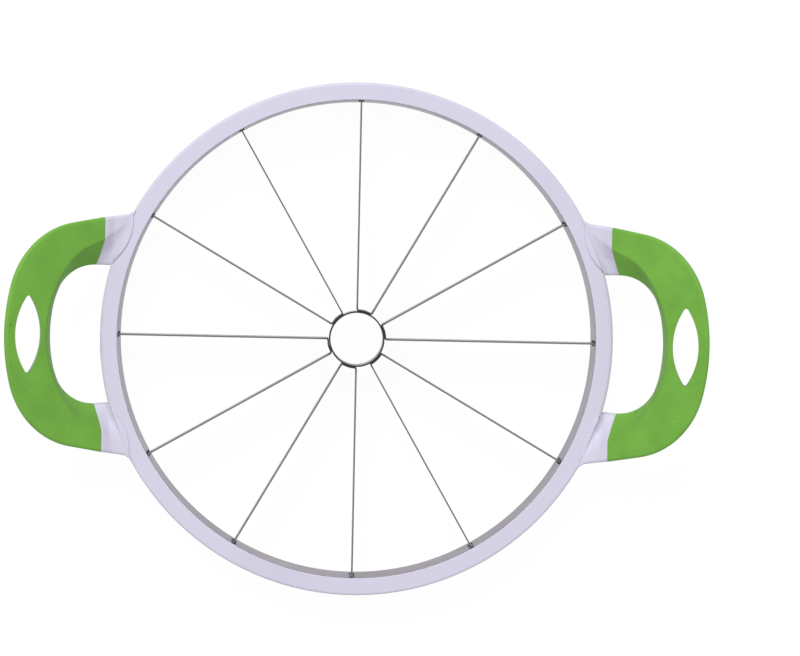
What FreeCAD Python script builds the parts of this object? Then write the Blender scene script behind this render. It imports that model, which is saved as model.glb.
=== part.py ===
import FreeCAD, Part
import math
import os
import Sketcher

# Melon slicer: twelve blades between a coring tube and a steel hoop, held in a moulded ring with two grips.
# The ring lies flat, +Z is up, +X runs along the grips, and the origin is the centre of the ring's underside.

# Driving dimensions, in millimetres, degrees and counts
SIZES = {
    # moulded ring
    "ring_radius": 140,
    "ring_height": 38,
    "rim_width": 9.4,
    "rim_thick": 3,
    "shell_wall": 2,
    "rim_round": 1.4,
    "bore_round": 0.4,
    # steel hoop
    "band_thick": 0.6,
    "band_proud": 0.1,
    "band_gap": 0.1,
    "band_cover": 1.2,
    "band_recess": 0.6,
    "slot_width": 3,
    "slot_gap": 0.3,
    # blades, bent in pairs round the coring tube
    "pair_count": 6,
    "blade_thick": 0.8,
    "blade_height": 25,
    "seat_gap": 0.3,
    "bevel_height": 4,
    "edge_land": 0.2,
    "bend_radius": 0.9,
    "tab_length": 4,
    "tab_gap": 0.1,
    # coring tube
    "hub_radius": 15.2,
    "hub_wall": 0.8,
    "hub_bevel": 2.5,
    "weld_gap": 0.1,
    # cover that closes the ring from below
    "cover_thick": 2.4,
    "cover_gap": 0.2,
    "lip_thick": 1.5,
    # screws and their bosses
    "screw_count": 8,
    "boss_radius": 2.2,
    "boss_gap": 0.5,
    "screw_radius": 1,
    "screw_length": 9,
    "screw_gap": 0.1,
    "head_radius": 1.8,
    "head_height": 1.2,
    "head_recess": 0.1,
    # grip slab: one slope, an outer side, an inner side and the crest of the scoop between them
    "grip_slope": 32,
    "grip_setback": 2.3,
    "grip_rise": 6.2,
    "grip_thick": 15,
    "scoop_depth": 9.5,
    "grip_half": 64,
    "grip_length": 51.3,
    "outer_flare": 38.3,
    "outer_corner": 46.5,
    "outer_lean": 9.9,
    "arm_top": 12,
    "crest_width": 21.9,
    "crest_flare": 10.1,
    "crest_corner": 34.8,
    "crest_lean": 23.3,
    "arm_scoop": 13.7,
    "grip_width": 22.9,
    "inner_flare": 34.2,
    "inner_corner": 24.4,
    "inner_lean": 3.9,
    "grip_round": 1.6,
    "crest_round": 2,
    "palm_round": 3.5,
    "sleeve_thick": 1.4,
    "bond_gap": 0.1,
    "core_round": 1.5,
    "core_embed": 2,
    # oval hole in each grip
    "hole_inset": 12.5,
    "hole_half_width": 7,
    "hole_half_length": 20.9,
    "hole_tip": 1.2,
    "hole_tilt": 6.5,
    # arms between ring and grips
    "root_azimuth": 22.35,
    "root_half": 14.75,
    "root_flare": 2.5,
    "root_embed": 1,
    "root_crest": 4.5,
    "root_foot": 2,
    "root_round": 1.5,
    "root_drop": 0.3,
    "neck_share": 0.2,
    "neck_sag": 0.5,
    "neck_valley": 0.6,
    "waist_share": 0.65,
    "waist_sag": 1.3,
    "waist_valley": 1.6,
    "pad_nose": 4.8,
    "pad_rise": 0.9,
    "pad_sink": 0.6,
}

SHEET = "Sizes"


class Size:
    """A number together with the sheet formula that gives it."""

    def __init__(self, number, formula):
        self.number = float(number)
        self.formula = formula

    def __add__(self, other):
        other = size(other)
        return Size(self.number + other.number, f"({self.formula} + {other.formula})")

    def __sub__(self, other):
        other = size(other)
        return Size(self.number - other.number, f"({self.formula} - {other.formula})")

    def __mul__(self, other):
        other = size(other)
        return Size(self.number * other.number, f"({self.formula} * {other.formula})")

    def __truediv__(self, other):
        other = size(other)
        return Size(self.number / other.number, f"({self.formula} / {other.formula})")

    def __neg__(self):
        return Size(-self.number, f"(-1 * {self.formula})")

    __radd__ = __add__
    __rmul__ = __mul__

    def __rsub__(self, other):
        return size(other) - self

    def __rtruediv__(self, other):
        return size(other) / self


def size(value):
    """A Size as it is, or a plain number as a Size."""
    if isinstance(value, Size):
        return value
    return Size(value, repr(value))


def cos(angle):
    angle = size(angle)
    return Size(math.cos(math.radians(angle.number)), f"cos({angle.formula})")


def sin(angle):
    angle = size(angle)
    return Size(math.sin(math.radians(angle.number)), f"sin({angle.formula})")


def tan(angle):
    angle = size(angle)
    return Size(math.tan(math.radians(angle.number)), f"tan({angle.formula})")


def arcsin(ratio):
    return Size(math.degrees(math.asin(ratio.number)), f"asin({ratio.formula})")


def root(value):
    return Size(math.sqrt(value.number), f"sqrt({value.formula})")


class Dimensions:
    """Every cell of the sheet as a Size, by its alias."""

    def __init__(self, values):
        for alias, number in values.items():
            setattr(self, alias, Size(number, f"{SHEET}.{alias}"))


def make_sheet():
    sheet = doc.addObject("Spreadsheet::Sheet", SHEET)
    for row, (alias, number) in enumerate(SIZES.items(), start=1):
        sheet.set(f"A{row}", alias.replace("_", " "))
        sheet.set(f"B{row}", str(number))
        sheet.setAlias(f"B{row}", alias)
    doc.recompute()


doc = FreeCAD.newDocument("melon_slicer")
make_sheet()
d = Dimensions(SIZES)

# Heights, radii and angles that several pieces share
rim_bore = d.ring_radius - d.rim_width
shell_inside = d.ring_radius - d.shell_wall
rim_underside = d.ring_height - d.rim_thick
band_inner = rim_bore - d.band_proud
band_outer = band_inner + d.band_thick
band_seat = band_outer + d.band_gap
band_top = d.ring_height - d.band_cover
blade_top = rim_underside - d.seat_gap
blade_base = blade_top - d.blade_height
half_thick = d.blade_thick / 2
blade_pitch = 180 / d.pair_count
tab_centre = band_outer + d.tab_gap + half_thick
wrap_centre = d.hub_radius + d.weld_gap + half_thick
lip_outer = band_seat + d.lip_thick
lip_top = blade_base - d.seat_gap
screw_circle = lip_outer + d.boss_gap + d.boss_radius
screw_pitch = 360 / d.screw_count
grip_start = d.ring_radius - d.grip_setback
grip_edge = d.ring_height + d.grip_rise
pad_top = d.ring_height + d.pad_rise
root_top = pad_top - d.root_drop
root_chord = root(d.ring_radius * d.ring_radius - d.root_half * d.root_half)


# Sketch helpers
def new_body(name):
    body = doc.addObject("PartDesign::Body", name)
    body.Label = name
    return body


def origin_item(body, role):
    return next(item for item in body.Origin.OriginFeatures if item.Role == role)


def new_sketch(body, name, role, base=(0, 0, 0), axis=(0, 0, 1), angle=0):
    """A sketch on one of the body's own planes, shifted and turned in that plane's own directions."""
    sketch = body.newObject("Sketcher::SketchObject", name)
    sketch.AttachmentSupport = (origin_item(body, role), "")
    sketch.MapMode = "FlatFace"
    shift = [size(value) for value in base]
    turn = size(angle)
    sketch.AttachmentOffset = FreeCAD.Placement(
        FreeCAD.Vector(*[value.number for value in shift]),
        FreeCAD.Rotation(FreeCAD.Vector(*axis), turn.number),
    )
    for letter, value in zip("xyz", shift):
        if SHEET in value.formula:
            sketch.setExpression(f"AttachmentOffset.Base.{letter}", value.formula)
    if SHEET in turn.formula:
        sketch.setExpression("AttachmentOffset.Rotation.Angle", turn.formula)
    return sketch


def constrain(sketch, kind, *where, value=None):
    """One constraint, with its value bound to the sheet when it has one."""
    if value is None:
        sketch.addConstraint(Sketcher.Constraint(kind, *where))
        return
    value = size(value)
    number = math.radians(value.number) if kind == "Angle" else value.number
    index = sketch.addConstraint(Sketcher.Constraint(kind, *where, number))
    if SHEET in value.formula:
        sketch.setExpression(f"Constraints[{index}]", value.formula)


def pin(sketch, edge, end, x, y):
    """Fixes one point of an edge by its coordinates."""
    constrain(sketch, "DistanceX", -1, 1, edge, end, value=x)
    constrain(sketch, "DistanceY", -1, 1, edge, end, value=y)


def vector(x, y):
    return FreeCAD.Vector(size(x).number, size(y).number, 0)


def mirrored(point):
    return FreeCAD.Vector(point.x, -point.y, 0)


def add_line(sketch, start, end):
    return sketch.addGeometry(Part.LineSegment(start, end))


def add_arc(sketch, centre, radius, start, end):
    """An arc about a centre, counterclockwise between two angles in radians."""
    full = Part.Circle(centre, FreeCAD.Vector(0, 0, 1), size(radius).number)
    return sketch.addGeometry(Part.ArcOfCircle(full, start, end))


def add_circle(sketch, x, y, radius):
    full = Part.Circle(vector(x, y), FreeCAD.Vector(0, 0, 1), size(radius).number)
    edge = sketch.addGeometry(full)
    pin(sketch, edge, 3, x, y)
    constrain(sketch, "Radius", edge, value=radius)


def outline(sketch, corners):
    """A closed outline of straight edges; a corner given with a third value is rounded to that radius."""
    count = len(corners)
    points = [vector(corner[0], corner[1]) for corner in corners]
    arrivals = list(points)
    departures = list(points)
    centres = {}
    for index, corner in enumerate(corners):
        if len(corner) < 3:
            continue
        radius = size(corner[2]).number
        back = (points[index - 1] - points[index]).normalize()
        ahead = (points[(index + 1) % count] - points[index]).normalize()
        half_angle = back.getAngle(ahead) / 2
        arrivals[index] = points[index] + back * (radius / math.tan(half_angle))
        departures[index] = points[index] + ahead * (radius / math.tan(half_angle))
        centres[index] = points[index] + (back + ahead).normalize() * (radius / math.sin(half_angle))
    for index in range(count):
        add_line(sketch, departures[index], arrivals[(index + 1) % count])
    for index, corner in enumerate(corners):
        before = (index - 1) % count
        if index not in centres:
            constrain(sketch, "Coincident", before, 2, index, 1)
            pin(sketch, index, 1, corner[0], corner[1])
            continue
        from_centre = arrivals[index] - centres[index]
        to_centre = departures[index] - centres[index]
        left_turn = from_centre.cross(to_centre).z > 0
        first, last = (from_centre, to_centre) if left_turn else (to_centre, from_centre)
        arc = add_arc(
            sketch, centres[index], corner[2], math.atan2(first.y, first.x), math.atan2(last.y, last.x)
        )
        constrain(sketch, "Tangent", before, 2, arc, 1 if left_turn else 2)
        constrain(sketch, "Tangent", arc, 2 if left_turn else 1, index, 1)
        constrain(sketch, "Radius", arc, value=corner[2])
        tip = sketch.addGeometry(Part.Point(points[index]), True)
        constrain(sketch, "PointOnObject", tip, 1, before)
        constrain(sketch, "PointOnObject", tip, 1, index)
        pin(sketch, tip, 1, corner[0], corner[1])


# Feature helpers
def pad(body, name, sketch, length):
    feature = body.newObject("PartDesign::Pad", name)
    feature.Profile = sketch
    feature.setExpression("Length", length.formula)
    doc.recompute()
    return feature


def pocket(body, name, sketch, length, along_normal=True, both_ways=False):
    feature = body.newObject("PartDesign::Pocket", name)
    feature.Profile = sketch
    feature.Reversed = along_normal
    feature.Midplane = both_ways
    feature.setExpression("Length", length.formula)
    doc.recompute()
    if not feature.Shape.Volume < feature.BaseFeature.Shape.Volume:
        raise ValueError(f"{name} cuts nothing")
    return feature


def revolve(body, name, sketch, angle=360):
    feature = body.newObject("PartDesign::Revolution", name)
    feature.Profile = sketch
    feature.ReferenceAxis = (sketch, ["V_Axis"])
    feature.Midplane = True
    feature.Angle = size(angle).number
    if SHEET in size(angle).formula:
        feature.setExpression("Angle", angle.formula)
    doc.recompute()
    return feature


def loft(body, name, sketches):
    feature = body.newObject("PartDesign::AdditiveLoft", name)
    feature.Profile = sketches[0]
    feature.Sections = sketches[1:]
    feature.Ruled = True
    doc.recompute()
    return feature


def around(body, name, originals, count):
    """Copies features evenly round the body's Z axis."""
    feature = body.newObject("PartDesign::PolarPattern", name)
    feature.Originals = originals
    feature.Axis = (origin_item(body, "Z_Axis"), [""])
    feature.Angle = 360
    feature.Occurrences = int(size(count).number)
    if SHEET in size(count).formula:
        feature.setExpression("Occurrences", count.formula)
    body.Tip = feature
    doc.recompute()
    return feature


def middle_of(curve):
    return curve.value((curve.FirstParameter + curve.LastParameter) / 2)


def fillet(body, name, radius, sketch, indices):
    """Rounds the edges that chosen lines and arcs of a sketch have left on the body."""
    base = body.Tip
    spots = [sketch.Placement.multVec(middle_of(sketch.Geometry[index])) for index in indices]
    names = []
    for number, edge in enumerate(base.Shape.Edges, start=1):
        if min(edge.distToShape(Part.Vertex(spot))[0] for spot in spots) < 0.001:
            names.append(f"Edge{number}")
    feature = body.newObject("PartDesign::Fillet", name)
    feature.Base = (base, names)
    feature.setExpression("Radius", radius.formula)
    doc.recompute()
    return feature


# Moulded ring: a rim with an outer wall, open below, with bosses for the cover's screws
def ring_channel(body):
    profile = new_sketch(body, "channel_profile", "XZ_Plane")
    outline(
        profile,
        [
            (shell_inside, 0),
            (d.ring_radius, 0),
            (d.ring_radius, d.ring_height, d.rim_round),
            (rim_bore, d.ring_height, d.bore_round),
            (rim_bore, band_top + d.band_gap),
            (band_seat, band_top + d.band_gap),
            (band_seat, rim_underside),
            (shell_inside, rim_underside),
        ],
    )
    revolve(body, "channel", profile)


def ring_bosses(body):
    """Bosses that grow out of the outer wall, each with a hole for a screw."""
    azimuth = screw_pitch / 2
    plan = new_sketch(body, "boss_plan", "XY_Plane", base=(0, 0, d.cover_thick), angle=azimuth)
    wall_middle = shell_inside + d.shell_wall / 2
    lower = add_line(plan, vector(screw_circle, -d.boss_radius), vector(wall_middle, -d.boss_radius))
    back = add_line(plan, vector(wall_middle, -d.boss_radius), vector(wall_middle, d.boss_radius))
    upper = add_line(plan, vector(wall_middle, d.boss_radius), vector(screw_circle, d.boss_radius))
    nose = add_arc(plan, vector(screw_circle, 0), d.boss_radius, math.pi / 2, 3 * math.pi / 2)
    constrain(plan, "Tangent", upper, 2, nose, 1)
    constrain(plan, "Tangent", nose, 2, lower, 1)
    constrain(plan, "Coincident", lower, 2, back, 1)
    constrain(plan, "Coincident", back, 2, upper, 1)
    constrain(plan, "Vertical", back)
    constrain(plan, "Horizontal", lower)
    constrain(plan, "Horizontal", upper)
    constrain(plan, "Radius", nose, value=d.boss_radius)
    pin(plan, nose, 3, screw_circle, 0)
    constrain(plan, "DistanceX", -1, 1, back, 1, value=wall_middle)
    boss = pad(body, "boss", plan, rim_underside - d.cover_thick)
    hole_plan = new_sketch(body, "boss_hole_plan", "XY_Plane", base=(0, 0, d.cover_thick), angle=azimuth)
    add_circle(hole_plan, screw_circle, 0, d.screw_radius + d.screw_gap)
    hole = pocket(body, "boss_hole", hole_plan, d.screw_length)
    around(body, "bosses", [boss, hole], d.screw_count)


def between(first, last, share):
    """A value that lies at a share of the way from a first one to a last one."""
    return first + (last - first) * share


def arm_root_steps():
    """The corners of an arm's section at the ring, as steps inward and down from the outer upper corner."""
    width = 2 * d.root_half
    height = root_top - d.root_foot
    valley = between(d.root_crest, width, 0.5)
    return [(size(0), 0), (d.root_crest, 0), (valley, 0), (width, 0), (width, height), (size(0), height)]


def arm_end_steps():
    """The same corners where the arm goes over into the grip, with the steps down along the grip's end."""
    width = d.arm_top + d.arm_scoop
    per_depth = tan(d.grip_slope)
    inner = width + d.scoop_depth * per_depth * tan(d.inner_lean)
    inner_palm = width + d.grip_thick * per_depth * tan(d.inner_lean)
    outer_palm = d.grip_thick * per_depth * tan(d.outer_lean)
    valley = (between(d.arm_top, inner, 0.5), d.scoop_depth / 2)
    palm = [(inner_palm, d.grip_thick), (outer_palm, d.grip_thick)]
    return [(size(0), 0), (d.arm_top, 0), valley, (inner, d.scoop_depth)] + palm


def arm_outline(sketch, side, far, top, steps, upper_round, lower_round):
    """An arm's section, from the place of its outer upper corner and the steps to its other corners."""
    corners = [[side * (far - inward), top - down] for inward, down in steps]
    corners[0].append(upper_round)
    corners[-2].append(lower_round)
    corners[-1].append(lower_round)
    outline(sketch, corners)


def arm_middle(body, name, side, share, sag, valley):
    """A section of an arm part of the way along, with its top a little low and a valley in its inner side."""
    distance = root_chord - d.root_embed
    root_x = distance * cos(d.root_azimuth) - d.root_half * sin(d.root_azimuth)
    root_y = distance * sin(d.root_azimuth) + d.root_half * cos(d.root_azimuth)
    sketch = new_sketch(
        body,
        name,
        "YZ_Plane",
        base=(side * between(root_y, d.grip_half, share), 0, between(root_x, grip_start, share)),
        axis=(0, 1, 0),
        angle=side * d.root_azimuth * (1 - share),
    )
    steps = []
    for at_root, at_end in zip(arm_root_steps(), arm_end_steps()):
        down = between(size(at_root[1]), at_end[1] * cos(d.grip_slope), share)
        steps.append((between(at_root[0], at_end[0], share), down))
    steps[2] = (steps[2][0], steps[2][1] + valley)
    top = between(root_top, grip_edge, share) - sag
    upper_round = between(d.root_round, d.grip_round, share)
    arm_outline(sketch, side, 0, top, steps, upper_round, between(d.root_round, d.palm_round, share))
    return sketch


def arm(body, side):
    """One arm of the +X grip, from the ring's wall to the grip's end, on the +Y or -Y side."""
    name = "arm_plus" if side > 0 else "arm_minus"
    azimuth = side * d.root_azimuth
    distance = root_chord - d.root_embed
    base = (distance * sin(azimuth), 0, distance * cos(azimuth))
    start = new_sketch(body, f"{name}_root", "YZ_Plane", base=base, axis=(0, 1, 0), angle=azimuth)
    steps = arm_root_steps()
    steps[0] = (-d.root_flare, steps[0][1])
    steps[-1] = (-d.root_flare, steps[-1][1])
    arm_outline(start, side, d.root_half, root_top, steps, d.root_round, d.root_round)
    neck = arm_middle(body, f"{name}_neck", side, d.neck_share, d.neck_sag, d.neck_valley)
    waist = arm_middle(body, f"{name}_waist", side, d.waist_share, d.waist_sag, d.waist_valley)
    base = (0, grip_edge, grip_start)
    end = new_sketch(body, f"{name}_end", "YZ_Plane", base=base, axis=(1, 0, 0), angle=-d.grip_slope)
    arm_outline(end, side, d.grip_half, 0, arm_end_steps(), d.grip_round, d.palm_round)
    doc.recompute()
    return loft(body, name, [start, neck, waist, end])


def arm_pad(body, side):
    """The low lobe by which an arm runs out on the rim."""
    name = "pad_plus" if side > 0 else "pad_minus"
    nose = d.ring_radius - d.pad_nose
    sagitta = root_chord - nose
    lobe_radius = (d.root_half * d.root_half + sagitta * sagitta) / (2 * sagitta)
    centre = nose + lobe_radius
    back = root_chord - d.root_embed / 2
    half = root(lobe_radius * lobe_radius - (centre - back) * (centre - back))
    base = (0, 0, d.ring_height - d.pad_sink)
    plan = new_sketch(body, f"{name}_plan", "XY_Plane", base=base, angle=side * d.root_azimuth)
    turn = math.atan2(half.number, (centre - back).number)
    edge = add_arc(plan, vector(centre, 0), lobe_radius, math.pi - turn, math.pi + turn)
    chord = add_line(plan, vector(back, -half), vector(back, half))
    constrain(plan, "Coincident", edge, 2, chord, 1)
    constrain(plan, "Coincident", chord, 2, edge, 1)
    constrain(plan, "Radius", edge, value=lobe_radius)
    pin(plan, edge, 3, centre, 0)
    constrain(plan, "Vertical", chord)
    constrain(plan, "DistanceX", -1, 1, chord, 1, value=back)
    return pad(body, name, plan, d.pad_rise + d.pad_sink)


def make_ring():
    body = new_body("moulded_ring")
    ring_channel(body)
    ring_bosses(body)
    features = []
    for side in (1, -1):
        features.append(arm(body, side))
        features.append(arm_pad(body, side))
    around(body, "arms", features, 2)
    return body


# Grips: a core moulded with the ring, and a soft sleeve over it
def bow(sketch, reach, bow_radius, corner_radius, lean, half, start, back):
    """Adds two arms, two corners and a bowed middle, each tangent to the next, and returns them in order."""
    mid_centre = reach - bow_radius
    centre = vector(mid_centre, 0)
    slant = math.radians(lean.number)
    along = FreeCAD.Vector(math.cos(slant), -math.sin(slant), 0)
    out = FreeCAD.Vector(math.sin(slant), math.cos(slant), 0)
    foot = vector(start, half) - out * corner_radius.number
    offset = foot - centre
    inward = (bow_radius - corner_radius).number
    run = math.sqrt(offset.dot(along) ** 2 - offset.dot(offset) + inward**2) - offset.dot(along)
    corner = foot + along * run
    turn = math.atan2(corner.y, corner.x - centre.x)
    quarter = math.pi / 2 - slant
    tangent_point = corner + out * corner_radius.number
    end_x = start - back
    end_y = half + back * tan(lean)
    end = vector(end_x, end_y)

    lower_arm = add_line(sketch, mirrored(end), mirrored(tangent_point))
    lower_corner = add_arc(sketch, mirrored(corner), corner_radius, -quarter, -turn)
    middle = add_arc(sketch, centre, bow_radius, -turn, turn)
    upper_corner = add_arc(sketch, corner, corner_radius, turn, quarter)
    upper_arm = add_line(sketch, tangent_point, end)
    edges = [lower_arm, lower_corner, middle, upper_corner, upper_arm]
    for first, second in zip(edges, edges[1:]):
        constrain(sketch, "Tangent", first, 2, second, 1)
    pin(sketch, middle, 3, mid_centre, 0)
    constrain(sketch, "Radius", middle, value=bow_radius)
    constrain(sketch, "Radius", lower_corner, value=corner_radius)
    constrain(sketch, "Radius", upper_corner, value=corner_radius)
    pin(sketch, lower_arm, 1, end_x, -end_y)
    pin(sketch, upper_arm, 2, end_x, end_y)
    constrain(sketch, "Angle", lower_arm, value=lean)
    constrain(sketch, "Angle", upper_arm, value=180 - lean)
    return edges, end


def grip_section(body, name, depth, inset, side, back):
    """The grip's outline in a plane that lies at a depth under its sloping top, all of it inset."""
    slope = d.grip_slope
    sketch = new_sketch(
        body,
        name,
        "XY_Plane",
        base=(depth * sin(slope), 0, grip_edge - grip_start * tan(slope) - depth * cos(slope)),
        axis=(0, -1, 0),
        angle=slope,
    )
    shift = depth * tan(slope)
    start = grip_start / cos(slope) - shift
    reach = (grip_start + d.grip_length) / cos(slope) - shift
    outer_edges, outer_end = bow(
        sketch,
        reach - inset,
        d.grip_half + d.outer_flare - inset,
        d.outer_corner - inset,
        d.outer_lean,
        d.grip_half - inset / cos(d.outer_lean),
        start,
        back,
    )
    inner_edges, inner_end = bow(
        sketch,
        reach - side["width"] / cos(slope) + inset,
        side["half"] + side["flare"] + inset,
        side["corner"] + inset,
        side["lean"],
        side["half"] + inset / cos(side["lean"]),
        start,
        back,
    )
    upper_end = add_line(sketch, outer_end, inner_end)
    lower_end = add_line(sketch, mirrored(inner_end), mirrored(outer_end))
    constrain(sketch, "Coincident", outer_edges[-1], 2, upper_end, 1)
    constrain(sketch, "Coincident", upper_end, 2, inner_edges[-1], 2)
    constrain(sketch, "Coincident", inner_edges[0], 1, lower_end, 1)
    constrain(sketch, "Coincident", lower_end, 2, outer_edges[0], 1)
    return sketch, outer_edges, inner_edges


def trim_arms(body, back, embed):
    """Cuts the arms off square to the slab, at the grip's end or a little before it."""
    slope = d.grip_slope
    end = (grip_start - embed * cos(slope), grip_edge - embed * sin(slope))
    below = 2 * d.grip_thick
    cut = 2 * (back + below)

    def corner(along, depth):
        x = end[0] + along * cos(slope) + depth * sin(slope)
        return (x, end[1] + along * sin(slope) - depth * cos(slope))

    sketch = new_sketch(body, f"{body.Name}_trim_face", "XZ_Plane")
    outline(sketch, [corner(0, -below), corner(0, below), corner(-cut, below), corner(-cut, -below)])
    pocket(body, f"{body.Name}_trim", sketch, 4 * d.grip_half, both_ways=True)


def grip_hole(body, inset):
    """The slender oval hole: two wide arcs that meet in rounded tips, almost upright."""
    half_width = d.hole_half_width + inset
    tip = d.hole_tip + inset
    rise = d.hole_half_length - d.hole_tip
    middle = grip_start + d.grip_length - d.hole_inset
    top = grip_edge + (middle - grip_start) * tan(d.grip_slope)
    above = 2 * half_width
    sketch = new_sketch(
        body,
        f"{body.Name}_hole_plan",
        "XY_Plane",
        base=(middle - above * sin(d.hole_tilt), 0, top + above * cos(d.hole_tilt)),
        axis=(0, -1, 0),
        angle=d.hole_tilt,
    )
    side_radius = (half_width * half_width + rise * rise - tip * tip) / (2 * (half_width - tip))
    offset = side_radius - half_width
    turn = math.atan2(rise.number, offset.number)
    right = add_arc(sketch, vector(-offset, 0), side_radius, -turn, turn)
    upper = add_arc(sketch, vector(0, rise), tip, turn, math.pi - turn)
    left = add_arc(sketch, vector(offset, 0), side_radius, math.pi - turn, math.pi + turn)
    lower = add_arc(sketch, vector(0, -rise), tip, math.pi + turn, 2 * math.pi - turn)
    edges = [right, upper, left, lower]
    for first, second in zip(edges, edges[1:] + edges[:1]):
        constrain(sketch, "Tangent", first, 2, second, 1)
    constrain(sketch, "Radius", upper, value=tip)
    constrain(sketch, "Radius", lower, value=tip)
    pin(sketch, upper, 3, 0, rise)
    pin(sketch, lower, 3, 0, -rise)
    constrain(sketch, "DistanceX", -1, 1, right, 3, value=-offset)
    constrain(sketch, "DistanceX", -1, 1, left, 3, value=offset)
    pocket(body, f"{body.Name}_hole", sketch, above + 3 * d.grip_thick, along_normal=False)


def make_slab(name, inset, embed, edge_rounds):
    """The grip's whole form, or the same form inset all round, as its own body."""
    body = new_body(name)
    inset = size(inset)
    back = d.grip_thick
    crest_half = d.grip_half - d.arm_top
    crest_side = {
        "width": d.crest_width,
        "half": crest_half,
        "flare": d.crest_flare,
        "corner": d.crest_corner,
        "lean": d.crest_lean,
    }
    inner_side = {
        "width": d.grip_width,
        "half": crest_half - d.arm_scoop,
        "flare": d.inner_flare,
        "corner": d.inner_corner,
        "lean": d.inner_lean,
    }
    top = grip_section(body, f"{name}_top", inset, inset, crest_side, back)
    middle = grip_section(body, f"{name}_middle", d.scoop_depth + inset / 2, inset, inner_side, back)
    bottom = grip_section(body, f"{name}_bottom", d.grip_thick - inset, inset, inner_side, back)
    doc.recompute()
    loft(body, f"{name}_slab", [top[0], middle[0], bottom[0]])
    trim_arms(body, back, size(embed))
    rounded = {
        "outer": (top[0], top[1]),
        "crest": (top[0], top[2]),
        "palm": (bottom[0], bottom[1] + bottom[2]),
    }
    for edge, radius in edge_rounds.items():
        fillet(body, f"{name}_{edge}_round", radius, *rounded[edge])
    grip_hole(body, inset)
    return body


def make_slabs():
    outside = make_slab(
        "grip_outside", 0, 0, {"outer": d.grip_round, "crest": d.crest_round, "palm": d.palm_round}
    )
    core_rounds = {"outer": d.core_round, "palm": d.core_round}
    cavity = make_slab("grip_cavity", d.sleeve_thick, d.core_embed, core_rounds)
    core = make_slab("grip_core", d.sleeve_thick + d.bond_gap, d.core_embed, core_rounds)
    return outside, cavity, core


def mirror(name, source):
    """The same piece on the -X side."""
    copy = doc.addObject("Part::Mirroring", name)
    copy.Source = source
    copy.Normal = FreeCAD.Vector(1, 0, 0)
    doc.recompute()
    return copy


def join(name, pieces):
    fused = doc.addObject("Part::MultiFuse", name)
    fused.Shapes = pieces
    doc.recompute()
    return fused


def hollow(name, outside, inside):
    cut = doc.addObject("Part::Cut", name)
    cut.Base = outside
    cut.Tool = inside
    doc.recompute()
    return cut


# Steel hoop inside the ring, with a slot for each blade
def make_band():
    body = new_body("rim_band")
    profile = new_sketch(body, "band_profile", "XZ_Plane")
    outline(
        profile,
        [
            (band_inner, d.band_recess),
            (band_outer, d.band_recess),
            (band_outer, band_top),
            (band_inner, band_top),
        ],
    )
    revolve(body, "hoop", profile)
    face = new_sketch(body, "slot_face", "YZ_Plane")
    half = d.slot_width / 2
    base = blade_base - d.slot_gap
    outline(face, [(-half, base), (half, base), (half, rim_underside), (-half, rim_underside)])
    slot = pocket(body, "slot", face, d.ring_radius)
    around(body, "slots", [slot], 2 * d.pair_count)
    return body


# Blades: one steel strip makes two, bent round the coring tube and hooked behind the hoop
def strip_path(sketch):
    """The strip's centre line, from one hooked end to the other."""
    bend = d.bend_radius.number
    tab = tab_centre.number
    wrap = wrap_centre.number
    pitch = math.radians(blade_pitch.number)
    inner = math.sqrt((wrap + bend) ** 2 - bend**2)
    skew = math.asin(bend / (wrap + bend))
    reach = tab - bend
    tab_end = bend + d.tab_length.number
    along = FreeCAD.Vector(math.cos(pitch), math.sin(pitch), 0)
    aside = FreeCAD.Vector(-math.sin(pitch), math.cos(pitch), 0)
    right_angle = math.pi / 2

    tab_one = add_line(sketch, vector(tab, -tab_end), vector(tab, -bend))
    hook_one = add_arc(sketch, vector(reach, -bend), bend, 0, right_angle)
    leg_one = add_line(sketch, vector(reach, 0), vector(inner, 0))
    turn_one = add_arc(sketch, vector(inner, bend), bend, math.pi + skew, 3 * right_angle)
    hub = add_arc(sketch, vector(0, 0), wrap, skew, pitch - skew)
    turn_two = add_arc(
        sketch, along * inner - aside * bend, bend, pitch + right_angle, pitch - skew + math.pi
    )
    leg_two = add_line(sketch, along * inner, along * reach)
    hook_two = add_arc(sketch, along * reach + aside * bend, bend, pitch - right_angle, pitch)
    tab_two = add_line(sketch, along * tab + aside * bend, along * tab + aside * tab_end)

    joints = [
        (tab_one, 2, hook_one, 1),
        (hook_one, 2, leg_one, 1),
        (leg_one, 2, turn_one, 2),
        (turn_one, 1, hub, 1),
        (hub, 2, turn_two, 2),
        (turn_two, 1, leg_two, 1),
        (leg_two, 2, hook_two, 1),
        (hook_two, 2, tab_two, 1),
    ]
    for joint in joints:
        constrain(sketch, "Tangent", *joint)
    constrain(sketch, "Radius", hook_one, value=d.bend_radius)
    for arc in (turn_one, turn_two, hook_two):
        constrain(sketch, "Equal", hook_one, arc)
    constrain(sketch, "Coincident", hub, 3, -1, 1)
    constrain(sketch, "Radius", hub, value=wrap_centre)
    constrain(sketch, "Horizontal", leg_one)
    constrain(sketch, "PointOnObject", leg_one, 1, -1)
    constrain(sketch, "PointOnObject", -1, 1, leg_two)
    constrain(sketch, "Angle", leg_two, value=blade_pitch)
    constrain(sketch, "Vertical", tab_one)
    constrain(sketch, "DistanceX", -1, 1, tab_one, 1, value=tab_centre)
    constrain(sketch, "Perpendicular", leg_two, tab_two)
    constrain(sketch, "Equal", leg_one, leg_two)
    constrain(sketch, "Distance", tab_one, value=d.tab_length)
    constrain(sketch, "Equal", tab_one, tab_two)


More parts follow.
